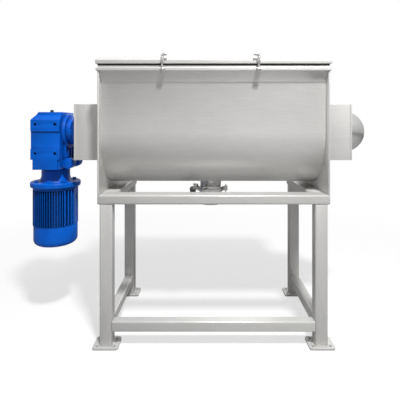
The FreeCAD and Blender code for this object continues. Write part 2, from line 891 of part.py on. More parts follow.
def make_band():
    """The two halves of the ferrule clamp, hinged on the left and bolted on the right."""
    inner = S.outlet_bore + S.outlet_wall + S.band_gap
    lip = S.ferrule_height / 2 + S.fit_gap
    half = S.band_height / 2
    groove = S.ferrule_radius + S.fit_gap
    root = inner + S.band_root
    section = [(inner, -half), (S.band_radius, -half), (S.band_radius, half), (inner, half),
               (inner, lip + S.ferrule_taper), (groove, lip), (groove, -lip),
               (inner, -lip - S.ferrule_taper)]
    low, high = joint_height - half, joint_height + half
    bolt_x = outlet_x + S.band_radius + S.lug_length / 2
    hinge_x = outlet_x - S.band_radius - S.band_eye - S.band_split
    split = S.band_split / 2
    bolt_hole = rod("+Y", S.band_bolt + S.running_gap, S.band_radius * 2,
                    bolt_x, -S.band_radius, joint_height)
    pin_hole = rod("+Z", S.band_bolt + S.running_gap, half * 2, hinge_x, 0, low)
    core = rod("+Z", groove, half * 2, outlet_x, 0, low)
    for name, row in (("front", -1), ("rear", 1)):
        def rows(depth):
            """The band's own side of the split, as far as a depth."""
            return (-depth, -split) if row < 0 else (split, depth)

        ring = common(turned("+Z", section, outlet_x, 0, joint_height),
                      block((outlet_x - S.band_radius, outlet_x + S.band_radius),
                            rows(S.band_radius), (low, high)))
        lug = block((outlet_x + root, outlet_x + S.band_radius + S.lug_length), rows(S.lug_depth),
                    (low, high))
        eye_low = low if row < 0 else joint_height + S.side_gap
        eye_high = joint_height - S.side_gap if row < 0 else high
        ear = block((hinge_x, outlet_x - root), rows(S.band_eye), (eye_low, eye_high))
        eye = rod("+Z", S.band_eye, eye_high - eye_low, hinge_x, 0, eye_low)
        node(f"band_{name}", cut(fuse(ring, cut(fuse(lug, ear, eye), core)), bolt_hole, pin_hole))

    knob = rod("+Z", S.knob_radius, S.knob_height, hinge_x, 0, high)
    pin = rod("+Z", S.band_bolt, half * 2, hinge_x, 0, low)
    head = hexagon("+Y", S.band_head, S.band_head_height, bolt_x, S.lug_depth, joint_height)
    shank = rod("-Y", S.band_bolt, S.lug_depth * 2 + S.wing_hub + S.bolt_overhang,
                bolt_x, S.lug_depth, joint_height)
    node("band_fasteners", group(fuse(pin, knob), fuse(head, shank)))
    nut_y = -S.lug_depth
    hub = rod("-Y", S.wing_hub_radius, S.wing_hub, bolt_x, nut_y, joint_height)
    wings = block((bolt_x - S.wing_thickness / 2, bolt_x + S.wing_thickness / 2),
                  (nut_y - S.wing_start - S.wing_width, nut_y - S.wing_start),
                  (joint_height - S.wing_span, joint_height + S.wing_span))
    bore = rod("-Y", S.band_bolt + S.running_gap, S.wing_start + S.wing_width, bolt_x, nut_y,
               joint_height)
    node("wing_nut", cut(fuse(hub, wings), bore))


def tilt_lever(piece):
    """Carry a piece made along -Y from the stem to its place on the tilted lever."""
    piece.Placement = FreeCAD.Placement(V(0, 0, 0), FreeCAD.Rotation(V(1, 0, 0), -1))
    tie(piece, "Placement.Rotation.Angle", -S.lever_tilt)
    return place(piece, outlet_x - S.stem_reach, 0, stem_height)


def make_lever():
    """Flat lever on the valve stem and the grip on its end."""
    body = new_body()
    bore = ("circle", S.stem_radius + S.running_gap, 0, 0)
    pad(body, draw(body, "YZ_Plane", ("circle", S.lever_hub, 0, 0), bore), S.lever_thickness)
    half_width = S.lever_width / 2
    near = S.lever_hub - S.weld_lap
    far = S.lever_length - S.grip_length / 2
    bar = draw(body, "YZ_Plane", box_path((far - near) / 2, half_width, x=-(far + near) / 2))
    pad(body, bar, S.lever_thickness / 2)
    node("valve_lever", tilt_lever(body))

    middle = S.lever_thickness / 4
    start = S.lever_length - S.grip_length
    neck = S.grip_radius - S.grip_taper
    grip = turned("-Y", [(0, 0), (neck, 0), (S.grip_radius, S.grip_start),
                         (S.grip_radius, S.grip_length - S.grip_end), (neck, S.grip_length),
                         (0, S.grip_length)], middle, -start, 0)
    slot = block((0, S.lever_thickness / 2), (-far, -start), (-half_width, half_width))
    node("valve_grip", tilt_lever(cut(grip, slot)))


# ---------------------------------------------------------------- bearing boxes

def make_bearing_boxes():
    """Sheet box on each end plate with its cover, shaft seal and flange bearing."""
    seals, packings, housings, bearings, covers = [], [], [], [], []
    half = S.box_side / 2
    shaft_bore = S.shaft_radius + S.running_gap
    packing = S.shaft_radius + S.packing_wall
    tube_length = S.box_length - S.cover_sheet
    for side, column in sides:
        out = "+X" if column > 0 else "-X"
        outline = box_path(half, half)
        inside = box_path(half - S.box_sheet, half - S.box_sheet)
        node(f"bearing_box_{side}", flat(out, tube_length, outline, inside,
                                         x=half_length * column, z=axis_height))
        cover = flat(out, S.cover_sheet, outline, ("circle", S.bearing_body, 0, 0),
                     x=(box_end - S.cover_sheet) * column, z=axis_height)
        covers.append(cover if column > 0 else cut(cover, *hub_bolt_rods(S.bolt_radius + S.running_gap)))
        foot = S.seal_foot
        seals.append(turned(out, [(packing, 0), (S.seal_flange, 0), (S.seal_flange, foot),
                                  (S.seal_body, foot), (S.seal_body, S.seal_length),
                                  (packing, S.seal_length)],
                            half_length * column, 0, axis_height))
        packings.append(turned(out, ring_path(shaft_bore, packing, 0, S.packing_length - S.end_wall),
                               (half_length - S.end_wall) * column, 0, axis_height))
        inner = (box_end - S.bearing_depth) * column
        seat = S.bearing_depth - S.cover_sheet
        rim = seat - S.bearing_rim
        housings.append(turned(out, [
            (S.bearing_radius, 0), (S.bearing_body, 0), (S.bearing_body, rim),
            (S.bearing_flange, rim), (S.bearing_flange, seat), (S.bearing_body, seat),
            (S.bearing_body, S.bearing_depth), (S.bearing_radius, S.bearing_depth)],
            inner, 0, axis_height))
        race = ring_path(shaft_bore, S.bearing_radius, S.bearing_inset,
                         S.bearing_inset + S.bearing_length)
        bearings.append(turned(out, race, inner, 0, axis_height))
    node("bearing_covers", group(*covers))
    node("shaft_seals", group(*seals, *packings))
    node("bearing_housings", group(*housings))
    node("bearings", group(*bearings))

    outer, skin = S.dome_radius, S.dome_sheet
    inner = outer - skin
    lip = outer + S.dome_lip
    dome = [(inner, 0), (lip, 0), (lip, skin), (outer, skin, (0, skin)), (0, outer + skin),
            (0, outer, (0, skin), "back"), (inner, skin)]
    node("bearing_cap", turned("+X", dome, box_end, 0, axis_height))


# ---------------------------------------------------------------- agitator

def make_agitator():
    """Shaft with outer and inner ribbons of opposite hand, mirrored about the middle."""
    tube_end = inner_end - S.end_gap
    span = tube_end - S.centre_gap / 2 - S.ribbon_thickness
    outer = S.trough_radius - S.ribbon_gap
    arm_root = outer - S.ribbon_width
    inner_root = S.inner_radius - S.inner_width
    left_end = -gearbox_right + S.gearbox_width - S.shaft_stub
    right_end = box_end + S.shaft_overhang
    shaft = turned("+X", [
        (0, -left_end), (S.shaft_radius, -left_end), (S.shaft_radius, -tube_end),
        (S.shaft_tube, -tube_end), (S.shaft_tube, tube_end), (S.shaft_radius, tube_end),
        (S.shaft_radius, right_end), (0, right_end)], 0, 0, axis_height)
    node("main_shaft", shaft)
    rods = []
    for side, column in sides:
        start = S.centre_gap / 2 if column > 0 else -tube_end
        for name, high, width, flip in (("outer", outer, S.ribbon_width, False),
                                        ("inner", S.inner_radius, S.inner_width, True)):
            body = new_body()
            low = high - width
            rows = (low, high) if not flip else (-high, -low)
            section = draw(body, "XZ_Plane", [(0, rows[0]), (S.ribbon_thickness, rows[0]),
                                              (S.ribbon_thickness, rows[1]), (0, rows[1])])
            helix = body.newObject("PartDesign::AdditiveHelix", "Ribbon")
            helix.Profile = section
            helix.ReferenceAxis = (section, ["H_Axis"])
            helix.Mode = "pitch-height-angle"
            tie(helix, "Pitch", span)
            tie(helix, "Height", span)
            helix.LeftHanded = (column > 0) != flip
            node(f"{name}_ribbon_{side}", place(body, start, 0, axis_height))
        spots = (start + S.spoke_radius, start + (span + S.ribbon_thickness) / 2,
                 start + span + S.ribbon_thickness - S.spoke_radius)
        for index, x in enumerate(spots):
            up, down = ("-Z", "+Z") if index == 1 else ("+Z", "-Z")
            rods.append(rod(up, S.spoke_radius, outer, x, 0, axis_height))
            rods.append(common(rod(down, S.spoke_radius, S.inner_radius, x, 0, axis_height),
                               rod("+X", inner_root, S.spoke_radius * 4, x - S.spoke_radius * 2,
                                   0, axis_height)))
    drum = rod("+X", arm_root, S.frame_length, -half_length, 0, axis_height)
    core = rod("+X", S.shaft_tube, S.frame_length, -half_length, 0, axis_height)
    trimmed = [cut(common(piece, drum), core) for piece in rods]
    node("spokes", group(*trimmed))


# ---------------------------------------------------------------- gearbox

def make_gearbox():
    """Helical-bevel unit: bevelled housing with machined pads, output hub and flange."""
    half_width = S.gearbox_width / 2
    front = S.gearbox_depth / 2
    top = axis_height + S.gearbox_top
    left, right = gearbox_x - half_width, gearbox_x + half_width
    body = new_body()
    step = S.gearbox_bevel
    shoulder = S.gearbox_shoulder
    pad_face = front - S.pad_rise
    outline = [(-pad_face, -S.gearbox_drop), (pad_face, -S.gearbox_drop), (pad_face, shoulder),
               (pad_face - step, shoulder + step), (pad_face - step, S.gearbox_top),
               (step - pad_face, S.gearbox_top), (step - pad_face, shoulder + step),
               (-pad_face, shoulder)]
    pad(body, draw(body, "YZ_Plane", outline), S.gearbox_width, middle=True)
    place(body, gearbox_x, 0, axis_height)
    slope = new_body()
    tongue = S.tongue_inset - half_width
    side_view = [(tongue, -S.gearbox_drop), (half_width, -S.gearbox_drop),
                 (half_width, S.gearbox_top), (S.gearbox_slope - half_width, S.gearbox_top),
                 (-half_width, S.gearbox_top - S.gearbox_slope_drop),
                 (-half_width, -S.lower_pad_low), (tongue, -S.lower_pad_low)]
    pad(slope, draw(slope, "XZ_Plane", side_view), S.gearbox_depth, middle=True)
    place(slope, gearbox_x, 0, axis_height)
    pieces = [common(body, slope)]
    for row in (-1, 1):
        rows = (-front, -pad_face) if row < 0 else (pad_face, front)
        for high, low in ((S.upper_pad_high, S.upper_pad_low), (-S.lower_pad_high, -S.lower_pad_low)):
            pieces.append(block((left, right), rows, (axis_height + low, axis_height + high)))
        pieces.append(block((left + S.tongue_inset, right - S.pad_inset), rows,
                            (axis_height - S.gearbox_drop, axis_height - S.lower_pad_low)))
    pieces.append(rod("+X", S.hub_radius, S.hub_length, gearbox_right, 0, axis_height))
    pieces.append(rod("+X", S.hub_base_radius, S.hub_base_length, gearbox_right, 0, axis_height))
    pieces.append(rod("-X", S.hub_flange, S.hub_flange_length, -box_end, 0, axis_height))

    lug_x = right + S.lug_radius
    lug_z = gearbox_base + S.lug_radius
    web_span = (lug_z + S.lug_web / 2, axis_height - S.hub_base_radius / 2)
    half_web = S.web_thickness / 2
    for row in (-1, 1):
        ends = (S.lug_spread / 2 * row, (S.lug_spread / 2 - S.lug_span) * row)
        span = ends if row < 0 else ends[::-1]
        pieces.append(rod("+Y", S.lug_radius, S.lug_span, lug_x, span[0], lug_z))
        pieces.append(block((right, lug_x), span, (lug_z - S.lug_web / 2, lug_z + S.lug_web / 2)))
    for index in range(int(S.web_count.value)):
        web_y = S.web_spread * index / (S.web_count - 1) - S.web_spread / 2
        pieces.append(block((right, right + S.web_depth), (web_y - half_web, web_y + half_web), web_span))

    holes = []
    for column in (-1, 1):
        for rise in (S.upper_pad_high - S.pad_hole_inset, -S.lower_pad_high - S.pad_hole_inset):
            x = gearbox_x + (half_width - S.pad_hole_inset) * column
            for direction, row in (("+Y", -1), ("-Y", 1)):
                holes.append(rod(direction, S.pad_hole, S.pad_hole_depth, x, front * row,
                                 axis_height + rise))
    shaft_bore = rod("-X", S.shaft_radius + S.running_gap,
                     S.hub_length + S.gearbox_width - S.gearbox_wall, -box_end, 0, axis_height)
    holes += hub_bolt_rods(S.bolt_radius + S.running_gap)
    node("gearbox_housing", cut(fuse(*pieces), shaft_bore, *holes))
    vent = (gearbox_x + S.vent_offset, -pad_face / 2, top)
    node("vent_plug", fuse(rod("+Z", S.vent_radius, S.vent_height, *vent),
                           hexagon("+Z", S.vent_head, S.vent_head_height, *vent)))


# ---------------------------------------------------------------- motor

def make_motor():
    """Flange adapter, finned frame, rotor, fan and cowl below the gearbox."""
    shaft_hole = S.rotor_shaft + S.rotor_room
    drop = S.adapter_length
    web = S.flange_height
    edge = S.flange_edge
    adapter = turned("-Z", [
        (shaft_hole, 0), (S.neck_radius, 0), (S.neck_radius, S.neck_straight),
        (S.neck_flare, drop - web), (S.flange_radius - edge, drop - web),
        (S.flange_radius, drop - web + edge), (S.flange_radius, drop - edge),
        (S.flange_radius - edge, drop), (shaft_hole, drop)], motor_x, 0, gearbox_base)
    bolt_holes = flange_bolt_rods(S.bolt_radius + S.running_gap)
    node("motor_adapter", cut(adapter, *bolt_holes))

    body = new_body()
    shaft_gap = S.rotor_shaft + S.running_gap
    length = S.motor_length
    shield = S.shield_height
    section = draw(body, "XZ_Plane", [
        (shaft_gap, -shield), (S.cowl_radius - S.cowl_sheet, -shield),
        (S.cowl_radius - S.cowl_sheet, 0), (S.motor_tube, 0), (S.motor_tube, length - shield),
        (S.fin_radius, length - shield), (S.fin_radius, length), (shaft_gap, length),
        (shaft_gap, length - shield), (S.motor_bore, length - shield), (S.motor_bore, 0),
        (shaft_gap, 0)])
    revolve(body, section)
    root = S.motor_tube - S.fin_root
    front_and_rear = [ray(middle - S.fin_arc.value / 2, root, S.fin_radius, S.fin_thickness)
                      for middle in (-90, 90)]
    fins = draw(body, "XY_Plane", *front_and_rear)
    around(body, pad(body, fins, length - shield), fins, S.fin_count, S.fin_arc)
    corners = [ray(middle + first, root, S.fin_radius, S.rib_width) for middle in (-90, 90)
               for first in (S.rib_start.value, -S.rib_start.value - S.rib_arc.value)]
    ribs = draw(body, "XY_Plane", *corners)
    around(body, pad(body, ribs, length - shield), ribs, S.rib_count, S.rib_arc)
    half_pad = S.mount_pad_width / 2
    sides_out = draw(body, "XY_Plane", *[
        [(low, -half_pad), (high, -half_pad), (high, half_pad), (low, half_pad)]
        for low, high in ((S.mount_pad_root, S.mount_pad_reach),
                          (-S.mount_pad_reach, -S.mount_pad_root))])
    body.Tip = pad(body, sides_out, length - shield)
    place(body, motor_x, 0, motor_base)
    holes = []
    middle = motor_base + (length - shield) / 2
    for direction, column in (("+X", -1), ("-X", 1)):
        for step in (-1, 1):
            holes.append(rod(direction, S.mount_hole, S.mount_hole_depth,
                             motor_x + S.mount_pad_reach * column, 0,
                             middle + S.mount_hole_pitch / 2 * step))
    node("motor_frame", cut(body, *holes, *flange_bolt_rods(S.bolt_radius + S.running_gap)))

    core_low = (length - shield - S.core_length) / 2
    core_high = core_low + S.core_length
    node("motor_stator", turned("+Z", ring_path(S.stator_radius, S.motor_bore, core_low, core_high),
                                motor_x, 0, motor_base))
    fan_base = S.fan_gap - S.cowl_length
    shaft_top = length + S.rotor_rise
    node("motor_rotor", turned("+Z", [
        (0, fan_base), (S.rotor_shaft, fan_base), (S.rotor_shaft, core_low), (S.rotor_radius, core_low),
        (S.rotor_radius, core_high), (S.rotor_shaft, core_high), (S.rotor_shaft, shaft_top),
        (0, shaft_top)], motor_x, 0, motor_base))

    body = new_body()
    fan_hub = S.rotor_shaft + S.fan_hub_wall
    revolve(body, draw(body, "XZ_Plane", ring_path(S.rotor_shaft, fan_hub, 0, S.fan_height)))
    half_blade = S.fan_blade / 2
    blade = draw(body, "XY_Plane", [(fan_hub - S.weld_lap, -half_blade), (S.fan_radius, -half_blade),
                                    (S.fan_radius, half_blade), (fan_hub - S.weld_lap, half_blade)])
    first = pad(body, blade, S.fan_height)
    around(body, first, blade, S.fan_blades)
    place(body, motor_x, 0, motor_base + fan_base)
    node("cooling_fan", body)

    body = new_body()
    outer, skin, bend = S.cowl_radius, S.cowl_sheet, S.cowl_round
    corner = (outer - bend, bend)
    section = draw(body, "XZ_Plane", [
        (0, 0), (outer - bend, 0, corner), (outer, bend), (outer, S.cowl_length),
        (outer - skin, S.cowl_length), (outer - skin, bend, corner, "back"),
        (outer - bend, skin), (0, skin)])
    revolve(body, section)
    half_slot = S.grille_slot / 2
    slot_end = outer - bend - S.grille_margin
    slot = draw(body, "XY_Plane", [(S.grille_start, -half_slot), (slot_end, -half_slot),
                                   (slot_end, half_slot), (S.grille_start, half_slot)])
    first = pocket(body, slot, skin, back=True)
    around(body, first, slot, S.grille_slots)
    place(body, motor_x, 0, motor_base - S.cowl_length)
    node("fan_cowl", body)

    box_low = motor_base + length - shield - S.terminal_height
    box_middle = box_low + S.terminal_height / 2
    outline = box_path(S.terminal_length / 2, S.terminal_height / 2, S.terminal_corner)
    box_y = S.fin_radius - S.terminal_sink
    terminal = flat("+Y", S.terminal_depth, outline, x=motor_x, y=box_y, z=box_middle)
    barrel = rod("+Z", S.fin_radius + S.running_gap, length - shield, motor_x, 0, motor_base)
    lid = flat("+Y", S.terminal_lid, outline, x=motor_x, y=box_y + S.terminal_depth, z=box_middle)
    node("terminal_box", group(cut(terminal, barrel), lid))
    gland = (motor_x, S.fin_radius + S.terminal_depth / 2, box_low)
    node("cable_gland", fuse(hexagon("-Z", S.gland_nut, S.gland_nut_height, *gland),
                             rod("-Z", S.gland_radius, S.gland_length, *gland)))


# ---------------------------------------------------------------- bolts

def bolt_circle(circle, count, turn):
    """Places round a circle, as pairs of offsets."""
    angles = [turn + 2 * math.pi * index / count.value for index in range(int(count.value))]
    return [(circle * round(math.cos(angle), 6), circle * round(math.sin(angle), 6))
            for angle in angles]


hub_bolt_places = bolt_circle(S.hub_flange - S.hub_bolt_inset, S.hub_bolts, math.pi / 6)
flange_bolt_places = bolt_circle(S.flange_radius - S.flange_bolt_inset, S.flange_bolts, math.pi / 4)


def hub_bolt_rods(radius):
    """The output flange's bolts or their holes, through the flange and the box's cover."""
    return [rod("+X", radius, S.hub_flange_length + S.cover_sheet, -box_end - S.hub_flange_length, y,
                axis_height + z) for y, z in hub_bolt_places]


def flange_bolt_rods(radius):
    """The motor flange's bolts or their holes, through the flange and into the end shield."""
    return [rod("-Z", radius, S.flange_height + S.shield_height - S.blind_wall, motor_x + x, y,
                flange_top) for x, y in flange_bolt_places]


def make_bolts():
    """Hexagon bolts of the output flange and of the motor flange."""
    head = (S.bolt_head, S.bolt_head_height)
    hub_heads = [hexagon("-X", *head, -box_end - S.hub_flange_length, y, axis_height + z)
                 for y, z in hub_bolt_places]
    flange_heads = [hexagon("+Z", *head, motor_x + x, y, flange_top) for x, y in flange_bolt_places]
    shanks = hub_bolt_rods(S.bolt_radius) + flange_bolt_rods(S.bolt_radius)
    node("flange_bolts", group(*(fuse(*bolt) for bolt in zip(hub_heads + flange_heads, shanks))))


make_frame()
make_trough()
make_lid()
make_hinges()
make_clamps()
make_outlet()
make_band()
make_lever()
make_bearing_boxes()
make_agitator()
make_gearbox()
make_motor()
make_bolts()
doc.recompute()

faults = []
for made in doc.Objects:
    if "Invalid" in made.State or "Error" in made.State:
        faults.append(f"{made.Name} ({made.Label}): {made.State}")
for piece in nodes:
    if piece.Shape.isNull() or not piece.Shape.isValid() or not piece.Shape.Solids:
        faults.append(f"{piece.Label} has no valid solid")
if faults:
    raise SystemExit("\n".join(faults))

os.makedirs("parts", exist_ok=True)
for piece in nodes:
    piece.Shape.exportStep(f"parts/{piece.Label}.step")
print(len(nodes), "nodes written")
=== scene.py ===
"""Looks of the ribbon blender: finishes, eased edges, camera, lamps and floor around the CAD frame."""

import json
import math

import bmesh
import bpy
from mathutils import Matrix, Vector


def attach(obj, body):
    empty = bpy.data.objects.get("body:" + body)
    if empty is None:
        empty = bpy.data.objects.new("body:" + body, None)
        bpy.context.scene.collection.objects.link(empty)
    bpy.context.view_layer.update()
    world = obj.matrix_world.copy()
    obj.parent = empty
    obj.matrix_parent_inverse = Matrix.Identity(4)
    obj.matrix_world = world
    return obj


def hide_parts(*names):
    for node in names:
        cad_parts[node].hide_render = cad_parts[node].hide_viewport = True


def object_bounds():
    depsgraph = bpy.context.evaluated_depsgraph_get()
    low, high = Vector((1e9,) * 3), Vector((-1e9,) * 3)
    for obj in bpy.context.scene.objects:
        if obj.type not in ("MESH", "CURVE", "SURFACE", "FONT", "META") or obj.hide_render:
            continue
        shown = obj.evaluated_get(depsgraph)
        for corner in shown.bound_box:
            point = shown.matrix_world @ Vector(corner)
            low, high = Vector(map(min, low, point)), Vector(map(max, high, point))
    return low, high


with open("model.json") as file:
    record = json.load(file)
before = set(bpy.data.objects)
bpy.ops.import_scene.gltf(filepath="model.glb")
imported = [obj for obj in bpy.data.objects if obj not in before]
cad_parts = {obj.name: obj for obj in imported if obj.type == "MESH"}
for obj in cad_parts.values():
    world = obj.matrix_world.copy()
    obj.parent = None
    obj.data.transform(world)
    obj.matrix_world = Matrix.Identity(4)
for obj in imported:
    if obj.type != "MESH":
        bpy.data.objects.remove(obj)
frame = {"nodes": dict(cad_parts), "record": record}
cad_low, cad_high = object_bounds()

NODES = frame["nodes"]
BODIES = frame["record"]["behaviour"]["bodies"]
BODY_OF = {node: body for body, names in BODIES.items() for node in names}
SLOT_OF = {row["node"]: row["material_slot"] for row in frame["record"]["subparts"]}


# ---------------------------------------------------------------- shader helpers

class Shader:
    """A node tree being written: call with a node type and its settings, then wire sockets."""

    def __init__(self, name):
        self.material = bpy.data.materials.new(name)
        self.material.use_nodes = True
        self.tree = self.material.node_tree
        self.surface = self.tree.nodes["Principled BSDF"]
        self.output = self.tree.nodes["Material Output"]
        self.place = self.node("ShaderNodeTexCoord").outputs["Object"]

    def node(self, kind, inputs=None, **settings):
        made = self.tree.nodes.new(kind)
        for key, value in settings.items():
            setattr(made, key, value)
        for key, value in (inputs or {}).items():
            if isinstance(value, bpy.types.NodeSocket):
                self.tree.links.new(value, made.inputs[key])
            else:
                made.inputs[key].default_value = value
        return made

    def wire(self, socket, target):
        self.tree.links.new(socket, target)

    def set(self, **values):
        for key, value in values.items():
            self.surface.inputs[key.replace("_", " ")].default_value = value

    def noise(self, scale, detail=3.0, roughness=0.5, stretch=(1, 1, 1)):
        """Noise on the object's own coordinates, stretched along the axes with small factors."""
        mapped = self.node("ShaderNodeMapping", {"Vector": self.place, "Scale": stretch})
        made = self.node("ShaderNodeTexNoise", {"Vector": mapped.outputs[0], "Scale": scale,
                                                "Detail": detail, "Roughness": roughness})
        return made.outputs["Fac"]

    def ramp(self, value, low, high, start=0.0, end=1.0):
        """Map a value to a colour or grey between two stops."""
        made = self.node("ShaderNodeValToRGB", {"Fac": value})
        made.color_ramp.elements[0].position = start
        made.color_ramp.elements[1].position = end
        for element, tone in zip(made.color_ramp.elements, (low, high)):
            element.color = (*tone, 1) if isinstance(tone, tuple) else (tone, tone, tone, 1)
        return made.outputs["Color"]

    def bump(self, height, strength, distance, normal=None):
        inputs = {"Height": height, "Strength": strength, "Distance": distance}
        if normal is not None:
            inputs["Normal"] = normal
        return self.node("ShaderNodeBump", inputs).outputs["Normal"]


def steel(name, tone, rough, along, metallic=0.7, grain=0.10, cloud=0.04):
    """Stainless steel: fine grain drawn out along one axis, faint clouds and a satin sheen."""
    shader = Shader(name)
    stretch = tuple(0.02 if axis == along else 1 for axis in "xyz")
    streak = shader.noise(850.0, 2.0, 0.6, stretch)
    clouds = shader.noise(2.6, 4.0, 0.6)
    smudge = shader.noise(9.0, 5.0, 0.65)
    dark = tuple(channel * (1 - cloud) for channel in tone)
    light = tuple(min(1.0, channel * (1 + cloud)) for channel in tone)
    base = shader.ramp(clouds, dark, light, 0.3, 0.7)
    mixed = shader.node("ShaderNodeMix", data_type="RGBA", blend_type="MULTIPLY")
    mixed.inputs["Factor"].default_value = 1.0
    shader.wire(base, mixed.inputs["A"])
    shader.wire(shader.ramp(streak, 0.90, 1.0, 0.35, 0.65), mixed.inputs["B"])
    shader.wire(mixed.outputs["Result"], shader.surface.inputs["Base Color"])
    worn = shader.ramp(smudge, rough - 0.03, rough + 0.03, 0.35, 0.65)
    fine = shader.ramp(streak, 0.92, 1.08, 0.3, 0.7)
    rough_mix = shader.node("ShaderNodeMath", {0: worn, 1: fine}, operation="MULTIPLY")
    shader.wire(rough_mix.outputs[0], shader.surface.inputs["Roughness"])
    shader.wire(shader.bump(streak, grain, 0.0004), shader.surface.inputs["Normal"])
    shader.set(Metallic=metallic)
    return shader.material


def paint(name, tone, rough, peel=0.08, cast=0.0):
    """Sprayed enamel: orange peel over the casting skin, a faint random mottle, and painted shade that
    darkens the corners and crevices.
    """
    shader = Shader(name)
    dust = shader.noise(14.0, 5.0, 0.6)
    dark = tuple(channel * 0.88 for channel in tone)
    light = tuple(min(1.0, channel * 1.08) for channel in tone)
    # Painted shade: ambient occlusion darkens the colour to about a fifth in corners, crevices and
    # between fins.
    corner = shader.node("ShaderNodeAmbientOcclusion", {"Distance": 0.02}, samples=8)
    mixed = shader.node("ShaderNodeMix", data_type="RGBA", blend_type="MULTIPLY")
    mixed.inputs["Factor"].default_value = 1.0
    shader.wire(shader.ramp(dust, dark, light, 0.3, 0.7), mixed.inputs["A"])
    shader.wire(shader.ramp(corner.outputs["AO"], 0.22, 1.0, 0.25, 0.95), mixed.inputs["B"])
    shader.wire(mixed.outputs["Result"], shader.surface.inputs["Base Color"])
    shader.wire(shader.ramp(shader.noise(40.0), rough - 0.04, rough + 0.08),
                shader.surface.inputs["Roughness"])
    normal = shader.bump(shader.noise(420.0, 2.0), peel, 0.0006)
    if cast:
        normal = shader.bump(shader.noise(150.0, 4.0, 0.7), cast, 0.0012, normal)
    shader.wire(normal, shader.surface.inputs["Normal"])
    shader.set(Metallic=0.0, Specular_IOR_Level=0.16, Coat_Weight=0.04, Coat_Roughness=0.12)
    return shader.material


def plain(name, tone, rough, grain=300.0, strength=0.1, metallic=0.0, vary=0.12):
    """Moulded plastic, rubber or machined metal with fine texture."""
    shader = Shader(name)
    tint = shader.noise(25.0, 3.0)
    dark = tuple(channel * (1 - vary) for channel in tone)
    light = tuple(min(1.0, channel * (1 + vary)) for channel in tone)
    shader.wire(shader.ramp(tint, dark, light, 0.3, 0.7), shader.surface.inputs["Base Color"])
    shader.wire(shader.ramp(tint, rough - 0.05, rough + 0.05), shader.surface.inputs["Roughness"])
    shader.wire(shader.bump(shader.noise(grain, 2.0), strength, 0.0005),
                shader.surface.inputs["Normal"])
    shader.set(Metallic=metallic)
    return shader.material


BLUE = (0.0, 0.105, 0.56)
PAINT_ROUGH = 0.34
CASTING_SKIN = 0.12
# Tone, roughness and metallic share.
STEELS = {
    "frame_steel": ((0.62, 0.615, 0.60), 0.46, 0.30),
    "brushed_steel": ((0.70, 0.69, 0.675), 0.42, 0.38),
    "polished_steel": ((0.72, 0.715, 0.70), 0.22, 0.92),
    "ribbon_steel": ((0.66, 0.655, 0.64), 0.36, 0.85),
}
PLAINS = {
    "black_plastic": {"tone": (0.016, 0.016, 0.017), "rough": 0.42},
    "black_rubber": {"tone": (0.022, 0.021, 0.020), "rough": 0.62},
    "white_silicone": {"tone": (0.62, 0.62, 0.60), "rough": 0.6},
    "seal_cast": {"tone": (0.30, 0.30, 0.31), "rough": 0.5, "metallic": 0.9},
}
MACHINED = {"tone": (0.52, 0.52, 0.53), "rough": 0.3, "metallic": 1.0}
# The axis that the brushing follows, where it isn't X.
GRAIN = {
    "leg_": "z", "end_plate_": "z", "low_rail_left": "y", "low_rail_right": "y",
    "top_rail_left": "y", "top_rail_right": "y", "clamp_": "z", "outlet_neck": "z",
}
made_materials = {}


def material_for(node, slot=None):
    """The finish of a piece: its slot's material, with the grain along the piece."""
    slot = slot or SLOT_OF[node]
    along = next((axis for start, axis in GRAIN.items() if node.startswith(start)), "x")
    key = f"{slot}_{along}" if slot in STEELS else slot
    if slot == "blue_paint":
        key += "_cast" if node.startswith(("gearbox", "motor_adapter")) else ""
    if key not in made_materials:
        if slot in STEELS:
            tone, rough, metallic = STEELS[slot]
            made = steel(key, tone, rough, along, metallic)
        elif slot == "blue_paint":
            skin = CASTING_SKIN if key.endswith("_cast") else 0.0
            made = paint(key, BLUE, PAINT_ROUGH, cast=skin)
        else:
            made = plain(key, **PLAINS.get(slot, MACHINED))
        made_materials[key] = made
    return made_materials[key]


# ---------------------------------------------------------------- mesh helpers

def add_piece(name, mesh, body, slot, *replaced):
    """A finished mesh as a piece that rides on a body."""
    piece = bpy.data.objects.new(name, mesh)
    bpy.context.collection.objects.link(piece)
    mesh.materials.clear()
    mesh.materials.append(material_for(replaced[0] if replaced else name, slot))
    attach(piece, body)
    if replaced:
        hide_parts(*replaced)
    return piece


MERGE_DISTANCE = 1e-5
FLAT_ANGLE = 0.6


def ease(node, width, segments=2, angle=32):
    """The CAD piece again with its sharp edges rounded off, as a finished part has them."""
    mesh = bpy.data.meshes.new(f"{node}_eased")
    shape = bmesh.new()
    shape.from_mesh(NODES[node].data)
    bmesh.ops.remove_doubles(shape, verts=shape.verts, dist=MERGE_DISTANCE)
    bmesh.ops.dissolve_limit(shape, angle_limit=math.radians(FLAT_ANGLE),
                             verts=shape.verts, edges=shape.edges)
    for face in shape.faces:
        face.smooth = True
    shape.to_mesh(mesh)
    shape.free()
    piece = add_piece(f"{node}_eased", mesh, BODY_OF[node], SLOT_OF[node], node)
    bevel = piece.modifiers.new("Edges", "BEVEL")
    bevel.width = width
    bevel.segments = segments
    bevel.limit_method = "ANGLE"
    bevel.angle_limit = math.radians(angle)
    bevel.harden_normals = True
    return piece


# ---------------------------------------------------------------- camera, light and stage

LENS = 33.3
SENSOR = 36
SHIFT_X, SHIFT_Y = -0.014, -0.192
CAMERA_PLACE = (-0.038, -2.046, 1.061)

# How bright the room is to matt and to glossy rays, and its tones at eye level and overhead.
MATT_LEVEL, GLOSSY_LEVEL = 0.36, 0.95
LEVEL_TONE, OVERHEAD_TONE = 0.55, 0.85
OVERHEAD_START = 0.6

FLOOR_RADIUS = 12
FLOOR_DROP = 0.0005
FADE_START, FADE_END = 0.9, 3.2
GLOW_NEAR = 0.62

